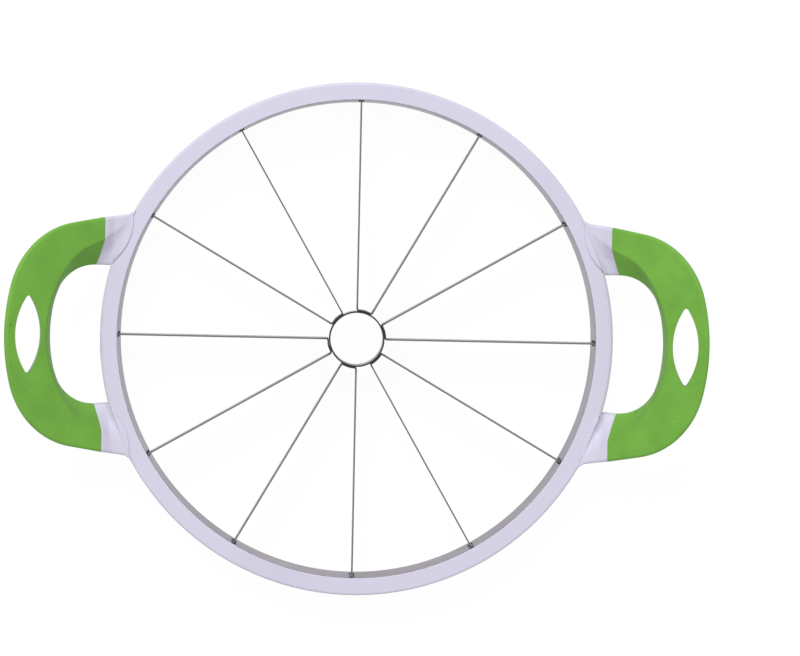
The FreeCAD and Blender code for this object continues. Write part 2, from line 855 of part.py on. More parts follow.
def make_blade_pair(number):
    body = new_body(f"blade_pair_{number + 1}")
    path = new_sketch(body, "strip_path", "XY_Plane", base=(0, 0, blade_base))
    strip_path(path)
    profile = new_sketch(body, "strip_profile", "XZ_Plane", base=(0, 0, d.bend_radius + d.tab_length))
    half_land = d.edge_land / 2
    shoulder = blade_base + d.bevel_height
    outline(
        profile,
        [
            (tab_centre - half_land, blade_base),
            (tab_centre + half_land, blade_base),
            (tab_centre + half_thick, shoulder),
            (tab_centre + half_thick, blade_top),
            (tab_centre - half_thick, blade_top),
            (tab_centre - half_thick, shoulder),
        ],
    )
    doc.recompute()
    strip = body.newObject("PartDesign::AdditivePipe", "strip")
    strip.Profile = profile
    strip.Spine = (path, [])
    body.setExpression("Placement.Rotation.Angle", (number * 2 * blade_pitch).formula)
    doc.recompute()
    return body


# Coring tube in the middle, ground to an edge below
def make_hub():
    body = new_body("hub_tube")
    profile = new_sketch(body, "tube_profile", "XZ_Plane")
    bore = d.hub_radius - d.hub_wall
    outline(
        profile,
        [
            (bore, blade_base),
            (bore + d.edge_land, blade_base),
            (d.hub_radius, blade_base + d.hub_bevel),
            (d.hub_radius, blade_top),
            (bore, blade_top),
        ],
    )
    revolve(body, "tube", profile)
    return body


# Cover under the ring: a flat flange, a lip under the blade ends, and recessed screw holes
def make_cover():
    body = new_body("base_cover")
    profile = new_sketch(body, "cover_profile", "XZ_Plane")
    outline(
        profile,
        [
            (band_seat, 0),
            (shell_inside - d.cover_gap, 0),
            (shell_inside - d.cover_gap, d.cover_thick),
            (lip_outer, d.cover_thick),
            (lip_outer, lip_top),
            (band_seat, lip_top),
        ],
    )
    revolve(body, "flange", profile)
    cuts = []
    holes = (
        ("screw_hole", d.screw_radius, d.cover_thick),
        ("head_hole", d.head_radius, d.head_height + d.head_recess),
    )
    for name, radius, depth in holes:
        plan = new_sketch(body, f"{name}_plan", "XY_Plane", angle=screw_pitch / 2)
        add_circle(plan, screw_circle, 0, radius + d.screw_gap)
        cuts.append(pocket(body, name, plan, depth))
    around(body, "screw_holes", cuts, d.screw_count)
    return body


# Screws that hold the cover to the bosses
def make_screw(number):
    body = new_body(f"cover_screw_{number + 1}")
    profile = new_sketch(body, "screw_profile", "XZ_Plane")
    head_top = d.head_recess + d.head_height
    tip = d.head_recess + d.screw_length
    outline(
        profile,
        [
            (0, d.head_recess),
            (d.head_radius, d.head_recess),
            (d.head_radius, head_top),
            (d.screw_radius, head_top),
            (d.screw_radius, tip - d.screw_radius),
            (0, tip),
        ],
    )
    revolve(body, "screw", profile)
    azimuth = (number + 0.5) * screw_pitch
    body.setExpression("Placement.Base.x", (screw_circle * cos(azimuth)).formula)
    body.setExpression("Placement.Base.y", (screw_circle * sin(azimuth)).formula)
    doc.recompute()
    return body


def make_pieces():
    """Every sub-part of the slicer, each labelled with the name of its file."""
    outside, cavity, core = make_slabs()
    right_grip = hollow("right_grip", outside, cavity)
    left_grip = mirror("left_grip", right_grip)
    frame_shell = join("frame_shell", [make_ring(), core, mirror("grip_core_left", core)])
    pieces = [frame_shell, make_cover(), make_band(), make_hub(), right_grip, left_grip]
    pieces += [make_blade_pair(number) for number in range(int(d.pair_count.number))]
    pieces += [make_screw(number) for number in range(int(d.screw_count.number))]
    return pieces


def check(pieces):
    """Stops if any object failed or any piece isn't one sound solid."""
    for item in doc.Objects:
        if "Invalid" in item.State or "Error" in item.State:
            raise ValueError(f"{item.Name} failed: {item.State}")
    for piece in pieces:
        shape = piece.Shape
        if shape.isNull() or not shape.isValid() or len(shape.Solids) != 1:
            raise ValueError(f"{piece.Label} isn't one sound solid")


def write(pieces):
    os.makedirs("parts", exist_ok=True)
    for piece in pieces:
        piece.Shape.exportStep(f"parts/{piece.Label}.step")
        box = piece.Shape.BoundBox
        print(f"{piece.Label}: {piece.Shape.Volume:.0f} mm3, z {box.ZMin:.2f} to {box.ZMax:.2f}")


pieces = make_pieces()
doc.recompute()
check(pieces)
write(pieces)
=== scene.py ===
import math

import bmesh
import bpy
from bpy.props import FloatProperty, FloatVectorProperty, IntProperty, PointerProperty
from bpy.types import Operator, Panel, PropertyGroup
from mathutils import Matrix, Vector


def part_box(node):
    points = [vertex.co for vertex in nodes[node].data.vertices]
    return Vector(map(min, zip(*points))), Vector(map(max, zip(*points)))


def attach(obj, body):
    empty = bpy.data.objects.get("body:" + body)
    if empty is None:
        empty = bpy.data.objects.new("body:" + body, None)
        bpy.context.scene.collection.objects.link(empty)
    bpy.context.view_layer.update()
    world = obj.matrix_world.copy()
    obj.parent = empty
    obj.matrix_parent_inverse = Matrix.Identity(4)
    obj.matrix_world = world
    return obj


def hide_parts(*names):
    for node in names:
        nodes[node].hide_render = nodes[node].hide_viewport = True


bl_info = {
    "name": "Melon slicer",
    "version": (1, 0, 0),
    "blender": (4, 5, 0),
    "location": "3D Viewport > Sidebar > Melon slicer",
    "description": "Finishes, screws, weld marks and studio for a melon slicer",
    "category": "Add Mesh",
}

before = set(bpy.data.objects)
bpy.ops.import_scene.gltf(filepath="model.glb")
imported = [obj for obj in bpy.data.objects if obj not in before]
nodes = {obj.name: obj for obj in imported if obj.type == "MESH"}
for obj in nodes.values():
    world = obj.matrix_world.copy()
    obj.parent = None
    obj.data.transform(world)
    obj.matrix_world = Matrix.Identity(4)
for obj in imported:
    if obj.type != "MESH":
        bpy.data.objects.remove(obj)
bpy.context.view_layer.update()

MM = 0.001
BLADE_PAIRS = sorted(name for name in nodes if name.startswith("blade_pair_"))
SCREWS = sorted(name for name in nodes if name.startswith("cover_screw_"))

# Sizes of the part that its boxes don't give
RIM_LIP = 1.2 * MM  # the plastic above the hoop
HOOP_THICKNESS = 0.6 * MM
WRAP_GAP = 0.1 * MM  # between the coring tube and the strips bent round it

# Places that the finishes, the weld marks and the camera go by
RING_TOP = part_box("rim_band")[1].z + RIM_LIP
HOOP_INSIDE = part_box("rim_band")[1].x - HOOP_THICKNESS
BLADE_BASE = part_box("hub_tube")[0].z
BLADE_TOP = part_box("hub_tube")[1].z
HUB_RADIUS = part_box("hub_tube")[1].x

# Sideways from the middle, where the arms' softer folds begin and where they are full
FOLDS_START = 126 * MM
FOLDS_FULL = 134 * MM

# Where one finish, or the painted shadow on the blades' hooked ends, runs into the next on a strip
GROUND_BLEND = 0.1 * MM  # to each side of the ground edge's shoulder
# the painted shadow on the hooked ends fades in over this width, up to the hoop's inside
HOOK_SHADOW_BLEND = 0.5 * MM  # inside the hoop
FACE_HEAT = 0.5  # share of the heat tint on the strips' faces, at the coring tube
EDGE_HEAT = 0.9  # share of the burnt colour on their cut edges, at the coring tube

# A weld mark: its places up the strip, its floor, and its rim as shares of its radius and height
WELD_PLACES = (0.3, 0.75)
WELD_FLOOR = 0.35
WELD_RIM = ((0.7, 0.3), (0.85, 1.0), (1.0, 0.4), (1.05, -1.0))
WELD_SIDES = 20

# A screw: the middle of a rounded edge, and the sizes that follow from another one
ROUND_MIDDLE = 0.3  # how far it lies in from both faces, as a share of the round
DRIVE_TAPER = 0.55  # the recess's floor, as a share of its mouth
RIDGE_WIDTH = 0.9  # the thread's foot, as a share of its pitch
RIDGE_SINK = 0.25  # how deep that foot stands in the shank, as a share of the thread's depth

# Settings of the meshes, the shaders, the floor and the camera
MERGE_DISTANCE = 0.001 * MM
CUT_TOLERANCE = 0.0001 * MM
SHARP_ANGLE = math.radians(35)
SHADER_SAMPLES = 8
FLOOR_DROP = 0.05 * MM
SENSOR_WIDTH = 36  # millimetres


# Sizes and colours that a user may change
class SlicerFinishes(PropertyGroup):
    plastic_colour: FloatVectorProperty(
        name="Ring",
        description="Colour of the moulded ring, its arms and its cover",
        subtype="COLOR",
        default=(0.70, 0.67, 0.82),
    )
    # Painted shade of the ring in its creases; mixed in by half, it is also the darker tone of the ring's
    # uneven cloud
    plastic_shade_and_cloud: FloatVectorProperty(
        name="Ring, in creases",
        description="Colour of the moulded ring where two faces meet",
        subtype="COLOR",
        default=(0.64, 0.61, 0.76),
    )
    grip_colour: FloatVectorProperty(
        name="Grips",
        description="Colour of the soft sleeves",
        subtype="COLOR",
        default=(0.197, 0.475, 0.068),
    )
    grip_shade: FloatVectorProperty(
        name="Grips, mottled",
        description="Darker colour in the mottle of the soft sleeves",
        subtype="COLOR",
        default=(0.168, 0.415, 0.057),
    )
    scuff_colour: FloatVectorProperty(
        name="Scuffs",
        description="Colour of the small rubbed marks on the sleeves",
        subtype="COLOR",
        default=(0.05, 0.15, 0.03),
    )
    steel_colour: FloatVectorProperty(
        name="Rolled steel",
        description="Colour of the blades' and the hoop's flat faces",
        subtype="COLOR",
        default=(0.48, 0.48, 0.47),
    )
    cut_colour: FloatVectorProperty(
        name="Cut steel",
        description="Colour of the dull cut edges of the steel strips",
        subtype="COLOR",
        default=(0.17, 0.17, 0.165),
    )
    hoop_colour: FloatVectorProperty(
        name="Hoop",
        description="Colour of the hoop's face",
        subtype="COLOR",
        default=(0.42, 0.41, 0.425),
    )
    graze_colour: FloatVectorProperty(
        name="Steel, seen flat",
        description="Colour of the flat steel faces when they are seen almost edge on",
        subtype="COLOR",
        default=(0.66, 0.625, 0.68),
    )
    # Painted shadow: near black on the blades' ends behind the hoop, and in the hoop's slots and creases
    slot_shadow_colour: FloatVectorProperty(
        name="Hooked ends",
        description="Colour of the blades' ends in the dark behind the hoop",
        subtype="COLOR",
        default=(0.008, 0.008, 0.008),
    )
    ground_colour: FloatVectorProperty(
        name="Ground steel",
        description="Colour of the ground cutting edges",
        subtype="COLOR",
        default=(0.60, 0.60, 0.59),
    )
    heat_colour: FloatVectorProperty(
        name="Heat tint",
        description="Colour that welding leaves on the steel round the coring tube",
        subtype="COLOR",
        default=(0.15, 0.13, 0.10),
    )
    burnt_colour: FloatVectorProperty(
        name="Burnt edges",
        description="Colour that welding leaves on the cut edges round the coring tube",
        subtype="COLOR",
        default=(0.03, 0.026, 0.022),
    )
    screw_colour: FloatVectorProperty(
        name="Screws",
        description="Colour of the plated screws",
        subtype="COLOR",
        default=(0.50, 0.50, 0.52),
    )
    # Painted shade: how far it reaches out from a crease on the plastic and the hoop
    crease_shade_reach: FloatProperty(
        name="Creases",
        description="How far a crease darkens the plastic and the hoop beside it",
        unit="LENGTH",
        default=1.5 * MM,
    )
    # Painted shade: how far it reaches out from a crease on a screw's plating
    thread_shade_reach: FloatProperty(
        name="Thread creases",
        description="How far a crease darkens the plating of a screw",
        unit="LENGTH",
        default=0.6 * MM,
    )
    ring_softness: FloatProperty(
        name="Ring edges",
        description="Radius that the ring's edges seem to have",
        unit="LENGTH",
        default=0.35 * MM,
    )
    arm_softness: FloatProperty(
        name="Arm folds",
        description="Radius that the folds of the arms seem to have",
        unit="LENGTH",
        default=2.5 * MM,
    )
    grip_softness: FloatProperty(
        name="Grip edges",
        description="Radius that the sleeves' edges seem to have",
        unit="LENGTH",
        default=0.3 * MM,
    )
    heat_reach: FloatProperty(
        name="Heat width",
        description="How far the heat tint reaches out from the coring tube",
        unit="LENGTH",
        default=5 * MM,
    )
    line_shade: FloatProperty(
        name="Brushed lines",
        description="Brightness of the brushed lines, as a share of the steel's",
        default=0.78,
        min=0,
        max=1,
    )


class SlicerSteel(PropertyGroup):
    bevel_height: FloatProperty(
        name="Ground bevel",
        description="Height of the ground cutting edge on the blades",
        unit="LENGTH",
        default=4 * MM,
    )
    strip_thickness: FloatProperty(
        name="Strip thickness",
        description="Thickness of the blade strips",
        unit="LENGTH",
        default=0.8 * MM,
    )
    weld_radius: FloatProperty(
        name="Weld radius",
        description="Radius of the spot weld marks on the coring tube",
        unit="LENGTH",
        default=1.3 * MM,
    )
    weld_height: FloatProperty(
        name="Weld height",
        description="How far the rim of a spot weld mark stands proud",
        unit="LENGTH",
        default=0.1 * MM,
    )


class SlicerScrews(PropertyGroup):
    shank_radius: FloatProperty(
        name="Shank radius",
        description="Outer radius of the thread",
        unit="LENGTH",
        default=1 * MM,
    )
    head_height: FloatProperty(
        name="Head height",
        description="Height of the head",
        unit="LENGTH",
        default=1.2 * MM,
    )
    edge_round: FloatProperty(
        name="Head edge",
        description="Width of the rounded edge of the head",
        unit="LENGTH",
        default=0.3 * MM,
    )
    thread_depth: FloatProperty(
        name="Thread depth",
        description="Depth of the thread",
        unit="LENGTH",
        default=0.25 * MM,
    )
    thread_pitch: FloatProperty(
        name="Thread pitch",
        description="Distance from one turn of the thread to the next",
        unit="LENGTH",
        default=0.9 * MM,
    )
    drive_length: FloatProperty(
        name="Drive length",
        description="Length of each bar of the cross recess",
        unit="LENGTH",
        default=2.2 * MM,
    )
    drive_width: FloatProperty(
        name="Drive width",
        description="Width of each bar of the cross recess",
        unit="LENGTH",
        default=0.5 * MM,
    )
    drive_depth: FloatProperty(
        name="Drive depth",
        description="Depth of the cross recess",
        unit="LENGTH",
        default=0.8 * MM,
    )
    sides: IntProperty(
        name="Sides",
        description="Number of sides of the head and shank",
        default=24,
        min=8,
    )


class SlicerStudio(PropertyGroup):
    camera_height: FloatProperty(
        name="Camera height",
        description="Height of the camera above the ring's flat face",
        unit="LENGTH",
        default=1.966,
    )
    camera_foot: FloatVectorProperty(
        name="Camera foot",
        description="Point straight below the camera",
        size=2,
        unit="LENGTH",
        default=(-25.7 * MM, 58.7 * MM),
    )
    camera_aim: FloatVectorProperty(
        name="Camera aim",
        description="Point of the ring's flat plane in the middle of the picture",
        size=2,
        unit="LENGTH",
        default=(23.4 * MM, 6.7 * MM),
    )
    camera_roll: FloatProperty(
        name="Camera roll",
        description="Turn of the camera about its line of sight",
        unit="ROTATION",
        default=math.radians(1.2),
    )
    focal_length: FloatProperty(
        name="Focal length",
        description="Focal length of the camera on a 36 mm sensor, in millimetres",
        unit="CAMERA",
        default=162.3,
    )
    floor_size: FloatProperty(
        name="Floor size",
        description="Side of the square floor",
        unit="LENGTH",
        default=12,
    )
    floor_colour: FloatVectorProperty(
        name="Floor",
        description="Colour of the floor",
        subtype="COLOR",
        default=(0.06, 0.06, 0.06),
    )
    floor_glow: FloatProperty(
        name="Floor glow",
        description="How much brighter the floor looks than its colour, up to white",
        default=0.96,
    )
    floor_bounce: FloatProperty(
        name="Floor bounce",
        description="Light that the floor throws back on to the part's walls",
        default=0.5,
    )
    sky_strength: FloatProperty(
        name="Room light",
        description="Strength of the even light of the room",
        default=0.56,
    )
    lamp_size: FloatProperty(
        name="Softbox size",
        description="Side of the square softbox",
        unit="LENGTH",
        default=3,
    )
    lamp_power: FloatProperty(
        name="Softbox power",
        description="Power of the softbox",
        unit="POWER",
        default=160,
    )
    lamp_place: FloatVectorProperty(
        name="Softbox place",
        description="Middle of the softbox, seen from the ring's centre",
        subtype="TRANSLATION",
        unit="LENGTH",
        default=(-1.0, 3.2, 4.2),
    )


# Material helpers
def new_material(name):
    """A material with its Principled shader, and that shader."""
    material = bpy.data.materials.new(name)
    material.use_nodes = True
    return material, material.node_tree.nodes["Principled BSDF"]


def set_inputs(tree, node, inputs):
    """Sets a node's inputs to plain values, or joins them to other nodes' outputs."""
    for name, value in inputs.items():
        if isinstance(value, bpy.types.NodeSocket):
            tree.links.new(value, node.inputs[name])
        else:
            node.inputs[name].default_value = value


def add_node(tree, kind, inputs, **settings):
    node = tree.nodes.new(kind)
    for name, value in settings.items():
        setattr(node, name, value)
    set_inputs(tree, node, inputs)
    return node


def opaque(colour):
    return (colour[0], colour[1], colour[2], 1)


def place_on(tree, scale=(1, 1, 1)):
    """The piece's own coordinates, stretched by a scale along each axis."""
    place = add_node(tree, "ShaderNodeTexCoord", {})
    mapping = add_node(tree, "ShaderNodeMapping", {"Vector": place.outputs["Object"], "Scale": scale})
    return mapping.outputs["Vector"]


def axis_of(tree, vector, axis):
    """One coordinate of a vector."""
    return add_node(tree, "ShaderNodeSeparateXYZ", {"Vector": vector}).outputs[axis]


def noise(tree, place, scale, detail=2.0):
    inputs = {"Vector": place, "Scale": scale, "Detail": detail}
    return add_node(tree, "ShaderNodeTexNoise", inputs).outputs["Fac"]


def remap(tree, value, low, high, new_low=0.0, new_high=1.0):
    """Stretches the span from low to high over a new span, and holds it at both ends."""
    inputs = {"Value": value, "From Min": low, "From Max": high, "To Min": new_low, "To Max": new_high}
    return add_node(tree, "ShaderNodeMapRange", inputs).outputs["Result"]


def mix(tree, amount, first, second):
    """Blends two colours by an amount from 0 to 1."""
    node = add_node(tree, "ShaderNodeMix", {}, data_type="RGBA")
    set_inputs(tree, node, {0: amount, 6: first, 7: second})
    return node.outputs[2]


def bump(tree, height, depth, strength=1.0, normal=None):
    inputs = {"Height": height, "Distance": depth, "Strength": strength}
    if normal is not None:
        inputs["Normal"] = normal
    return add_node(tree, "ShaderNodeBump", inputs).outputs["Normal"]


def soft_edge(tree, radius):
    """A normal that rounds the sharp edges a little."""
    return add_node(tree, "ShaderNodeBevel", {"Radius": radius}, samples=SHADER_SAMPLES).outputs["Normal"]


def openness(tree, reach):
    """1 on an open face, and less where other faces close in within reach."""
    node = add_node(tree, "ShaderNodeAmbientOcclusion", {"Distance": reach}, samples=SHADER_SAMPLES)
    return node.outputs["AO"]


def seen_rays(tree):
    """1 for the rays that come from the camera, a mirror or a clear material."""
    path = add_node(tree, "ShaderNodeLightPath", {})
    total = path.outputs["Is Camera Ray"]
    for name in ("Is Glossy Ray", "Is Transmission Ray"):
        sums = add_node(tree, "ShaderNodeMath", {0: total, 1: path.outputs[name]}, operation="MAXIMUM")
        total = sums.outputs[0]
    return total


# Finishes, one function each
def moulded_white(finishes):
    """White plastic: satin, a little uneven, with painted shade in its creases, and softer folds on the
    arms.
    """
    material, shader = new_material("moulded_white")
    tree = material.node_tree
    place = place_on(tree)
    flow = noise(tree, place, scale=14.0, detail=3.0)
    grain = noise(tree, place, scale=2200.0)
    sideways = add_node(tree, "ShaderNodeMath", {0: axis_of(tree, place, "X")}, operation="ABSOLUTE")
    softness = remap(
        tree,
        sideways.outputs[0],
        FOLDS_START,
        FOLDS_FULL,
        finishes.ring_softness,
        finishes.arm_softness,
    )
    clean = opaque(finishes.plastic_colour)
    # Painted crease shade, also mixed in by half for the darker tone of the uneven cloud
    shade_and_cloud = opaque(finishes.plastic_shade_and_cloud)
    clouded = mix(tree, remap(tree, flow, 0.3, 0.5), mix(tree, 0.5, shade_and_cloud, clean), clean)
    # Painted shade where other faces close in within reach
    unshaded_mask = remap(tree, openness(tree, finishes.crease_shade_reach), 0.1, 0.5)
    set_inputs(
        tree,
        shader,
        {
            "Base Color": mix(tree, unshaded_mask, shade_and_cloud, clouded),
            "Roughness": remap(tree, flow, 0.3, 0.7, 0.34, 0.44),
            "IOR": 1.49,
            "Specular IOR Level": 0.35,
            "Normal": bump(tree, grain, 0.02 * MM, 0.5, soft_edge(tree, softness)),
        },
    )
    return material


def soft_green(finishes):
    """Soft sleeve: matt, mottled and finely grained, with a few rubbed marks."""
    material, shader = new_material("soft_green")
    tree = material.node_tree
    place = place_on(tree)
    mottle = noise(tree, place, scale=60.0, detail=4.0)
    grain = noise(tree, place, scale=3000.0)
    marks = noise(tree, place_on(tree, (1, 0.6, 1)), scale=330.0, detail=1.0)
    rubbed = remap(tree, marks, 0.74, 0.82, 0.0, 0.7)
    light = remap(tree, mottle, 0.35, 0.65)
    mottled = mix(tree, light, opaque(finishes.grip_shade), opaque(finishes.grip_colour))
    set_inputs(
        tree,
        shader,
        {
            "Base Color": mix(tree, rubbed, mottled, opaque(finishes.scuff_colour)),
            "Roughness": remap(tree, mottle, 0.3, 0.7, 0.42, 0.52),
            "IOR": 1.45,
            "Specular IOR Level": 0.2,
            "Normal": bump(tree, grain, 0.03 * MM, 0.6, soft_edge(tree, finishes.grip_softness)),
        },
    )
    return material


def rolled_grain(tree):
    """Fine level lines, such as rolling leaves along a strip that stands on edge."""
    return noise(tree, place_on(tree, (9, 9, 2600)), scale=1.0, detail=3.0)


def brushed(tree, colour, line_shade):
    """A steel colour with fine darker lines along the strip."""
    dark = [part * line_shade for part in colour]
    lines = remap(tree, rolled_grain(tree), 0.35, 0.65)
    return mix(tree, lines, opaque(dark), opaque(colour))


def facing_up(tree):
    """How far a face looks up: 1 on a level top edge, 0 on an upright face."""
    geometry = add_node(tree, "ShaderNodeNewGeometry", {})
    return remap(tree, axis_of(tree, geometry.outputs["Normal"], "Z"), 0.5, 0.8)


def distance_out(tree):
    """The distance from the ring's axis."""
    flat = add_node(tree, "ShaderNodeVectorMath", {0: place_on(tree, (1, 1, 0))}, operation="LENGTH")
    return flat.outputs["Value"]


def blade_steel(finishes, shoulder):
    """Strip ground below its shoulder, tinted by heat at the coring tube, with a painted shadow on its
    ends behind the hoop.
    """
    material, shader = new_material("blade_steel")
    tree = material.node_tree
    place = place_on(tree)
    cloud = noise(tree, place, scale=45.0, detail=3.0)
    height = axis_of(tree, place, "Z")
    outwards = distance_out(tree)
    heat_end = HUB_RADIUS + finishes.heat_reach
    ground = remap(tree, height, shoulder - GROUND_BLEND, shoulder + GROUND_BLEND, 1.0, 0.0)
    face_heat = remap(tree, outwards, heat_end, HUB_RADIUS, 0.0, FACE_HEAT)
    edge_heat = remap(tree, outwards, heat_end, HUB_RADIUS, 0.0, EDGE_HEAT)
    # Painted shadow: the blades' ends behind the hoop go near black
    hook_shadow = remap(tree, outwards, HOOP_INSIDE - HOOK_SHADOW_BLEND, HOOP_INSIDE)
    lines = brushed(tree, finishes.steel_colour, finishes.line_shade)
    rolled = mix(tree, face_heat, lines, opaque(finishes.heat_colour))
    faces = mix(tree, ground, rolled, opaque(finishes.ground_colour))
    burnt = mix(tree, edge_heat, opaque(finishes.cut_colour), opaque(finishes.burnt_colour))
    strip = mix(tree, facing_up(tree), faces, burnt)
    set_inputs(
        tree,
        shader,
        {
            "Base Color": mix(tree, hook_shadow, strip, opaque(finishes.slot_shadow_colour)),
            "Specular Tint": opaque(finishes.graze_colour),
            "Metallic": 1.0,
            "Roughness": remap(tree, cloud, 0.3, 0.7, 0.24, 0.36),
            "Normal": bump(tree, rolled_grain(tree), 0.01 * MM, 0.5),
        },
    )
    return material


def hoop_steel(finishes):
    """Rolled strip of the hoop, dull on its cut edges, with painted shade in its creases and where the
    blades pass through it.
    """
    material, shader = new_material("hoop_steel")
    tree = material.node_tree
    cloud = noise(tree, place_on(tree), scale=30.0, detail=3.0)
    lines = brushed(tree, finishes.hoop_colour, finishes.line_shade)
    dull = mix(tree, 0.5, opaque(finishes.hoop_colour), opaque(finishes.cut_colour))
    strip = mix(tree, facing_up(tree), lines, dull)
    # Painted shade: creases and the blades' slots go towards the near-black shadow colour
    unshaded_mask = remap(tree, openness(tree, finishes.crease_shade_reach), 0.4, 0.8)
    set_inputs(
        tree,
        shader,
        {
            "Base Color": mix(tree, unshaded_mask, opaque(finishes.slot_shadow_colour), strip),
            "Specular Tint": opaque(finishes.graze_colour),
            "Metallic": 1.0,
            "Roughness": remap(tree, cloud, 0.3, 0.7, 0.26, 0.38),
            "Normal": bump(tree, rolled_grain(tree), 0.01 * MM, 0.35),
        },
    )
    return material


def plated_steel(finishes):
    """Bright plating of the screws, with painted shade in the recess and the thread."""
    material, shader = new_material("plated_steel")
    tree = material.node_tree
    cloud = noise(tree, place_on(tree), scale=900.0, detail=3.0)
    bright = opaque(finishes.screw_colour)
    # Painted shade for the recess and the thread, mixed in where faces close in
    dark = mix(tree, 0.75, bright, opaque(finishes.cut_colour))
    set_inputs(
        tree,
        shader,
        {
            "Base Color": mix(tree, openness(tree, finishes.thread_shade_reach), dark, bright),
            "Metallic": 1.0,
            "Roughness": remap(tree, cloud, 0.3, 0.7, 0.22, 0.38),
            "Normal": bump(tree, cloud, 0.01 * MM, 0.3),
        },
    )
    return material


def weld_steel(finishes):
    """Steel of the weld marks, in patches of heat tint."""
    material, shader = new_material("weld_steel")
    tree = material.node_tree
    cloud = noise(tree, place_on(tree), scale=1500.0, detail=4.0)
    bare = remap(tree, cloud, 0.35, 0.65)
    set_inputs(
        tree,
        shader,
        {
            "Base Color": mix(tree, bare, opaque(finishes.heat_colour), opaque(finishes.steel_colour)),
            "Metallic": 1.0,
            "Roughness": 0.42,
            "Normal": bump(tree, cloud, 0.03 * MM, 0.6),
        },
    )
    return material


def dress(names, material):
    """Gives CAD nodes one material in every slot."""
    for name in names:
        slots = nodes[name].material_slots
        for slot in slots:
            slot.material = material
        if not slots:
            nodes[name].data.materials.append(material)


# Mesh helpers
def add_object(name, data):
    item = bpy.data.objects.new(name, data)
    bpy.context.scene.collection.objects.link(item)
    return item


def add_mesh(name, mesh, material):
    """Turns a finished bmesh into an object with one material."""
    data = bpy.data.meshes.new(name)
    mesh.to_mesh(data)
    mesh.free()
    data.materials.append(material)
    return add_object(name, data)


def new_piece(name, mesh, material):
    """Makes a bmesh a piece of the object, smooth but for its sharp corners."""
    bmesh.ops.remove_doubles(mesh, verts=mesh.verts[:], dist=MERGE_DISTANCE)
    bmesh.ops.recalc_face_normals(mesh, faces=mesh.faces[:])
    piece = add_mesh(name, mesh, material)
    piece.data.polygons.foreach_set("use_smooth", [True] * len(piece.data.polygons))
    piece.data.set_sharp_from_angle(angle=SHARP_ANGLE)
    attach(piece, "root")
    return piece


def grow(mesh, edges, steps):
    """Draws a ring of edges out into a wall that passes through each radius and height."""
    for radius, height in steps:
        made = bmesh.ops.extrude_edge_only(mesh, edges=edges)["geom"]
        edges = [item for item in made if isinstance(item, bmesh.types.BMEdge)]
        for vert in (item for item in made if isinstance(item, bmesh.types.BMVert)):
            direction = Vector((vert.co.x, vert.co.y)).normalized()
            vert.co = Vector((direction.x * radius, direction.y * radius, height))
    return edges


# Screws: a round head with a cross recess, and a threaded shank above it
def cut_lines(mesh, distance):
    """Cuts the whole mesh along four lines at one distance from the middle."""
    for normal in ((1, 0, 0), (0, 1, 0)):
        for side in (-1, 1):
            bmesh.ops.bisect_plane(
                mesh,
                geom=mesh.verts[:] + mesh.edges[:] + mesh.faces[:],
                dist=CUT_TOLERANCE,
                plane_co=Vector(normal) * (side * distance),
                plane_no=normal,
            )


def add_drive(mesh, sizes):
    """Sinks a tapered cross into the flat face of the head."""
    half_width = sizes.drive_width / 2
    half_length = sizes.drive_length / 2
    cut_lines(mesh, half_width)
    cut_lines(mesh, half_length)
    cross = []
    for face in mesh.faces:
        middle = face.calc_center_median()
        reach = sorted((abs(middle.x), abs(middle.y)))
        if reach[0] < half_width and reach[1] < half_length:
            cross.append(face)
    made = bmesh.ops.extrude_face_region(mesh, geom=cross)["geom"]
    floor = [item for item in made if isinstance(item, bmesh.types.BMVert)]
    bmesh.ops.translate(mesh, verts=floor, vec=(0, 0, sizes.drive_depth))
    bmesh.ops.scale(mesh, verts=floor, vec=(DRIVE_TAPER, DRIVE_TAPER, 1))


def add_thread(mesh, sizes, start, end):
    """A ridge with a pointed section that winds up the shank."""
    core = sizes.shank_radius - sizes.thread_depth
    foot = core - sizes.thread_depth * RIDGE_SINK
    corners = [
        mesh.verts.new((foot, 0, start)),
        mesh.verts.new((sizes.shank_radius, 0, start + sizes.thread_pitch / 2)),
        mesh.verts.new((foot, 0, start + sizes.thread_pitch * RIDGE_WIDTH)),
    ]
    section = mesh.faces.new(corners)
    turns = (end - start) / sizes.thread_pitch - 1
    steps = int(turns * sizes.sides / 2)
    bmesh.ops.spin(
        mesh,
        geom=[section, *section.edges, *section.verts],
        axis=(0, 0, 1),
        dvec=(0, 0, turns * sizes.thread_pitch / steps),
        angle=turns * math.tau,
        steps=steps,
    )


def screw_mesh(sizes, head_radius, length):
    """A screw that stands on its head at the origin."""
    mesh = bmesh.new()
    face_radius = head_radius - sizes.edge_round
    bmesh.ops.create_circle(mesh, cap_ends=True, segments=sizes.sides, radius=face_radius)
    add_drive(mesh, sizes)
    rim = [edge for edge in mesh.edges if edge.is_boundary]
    core = sizes.shank_radius - sizes.thread_depth
    near_tip = length - sizes.shank_radius
    inset = sizes.edge_round * ROUND_MIDDLE
    steps = [
        (head_radius - inset, inset),
        (head_radius, sizes.edge_round),
        (head_radius, sizes.head_height),
        (core, sizes.head_height),
        (core, near_tip),
        (0, length),
    ]
    grow(mesh, rim, steps)
    add_thread(mesh, sizes, sizes.head_height, near_tip)
    return mesh


# Spot welds: shallow craters pressed into the strips where they lie on the coring tube
def add_weld(mesh, sizes, place):
    """A shallow crater with a raised rim, set by its placement with its face along Z."""
    before = set(mesh.verts)
    floor_radius = sizes.weld_radius * WELD_FLOOR
    disc = bmesh.ops.create_circle(mesh, cap_ends=True, segments=WELD_SIDES, radius=floor_radius)
    floor = disc["verts"][0].link_faces[0]
    steps = [(sizes.weld_radius * out, sizes.weld_height * up) for out, up in WELD_RIM]
    foot = grow(mesh, list(floor.edges), steps)
    bmesh.ops.contextual_create(mesh, geom=foot)
    made = [vert for vert in mesh.verts if vert not in before]
    bmesh.ops.transform(mesh, matrix=place, verts=made)


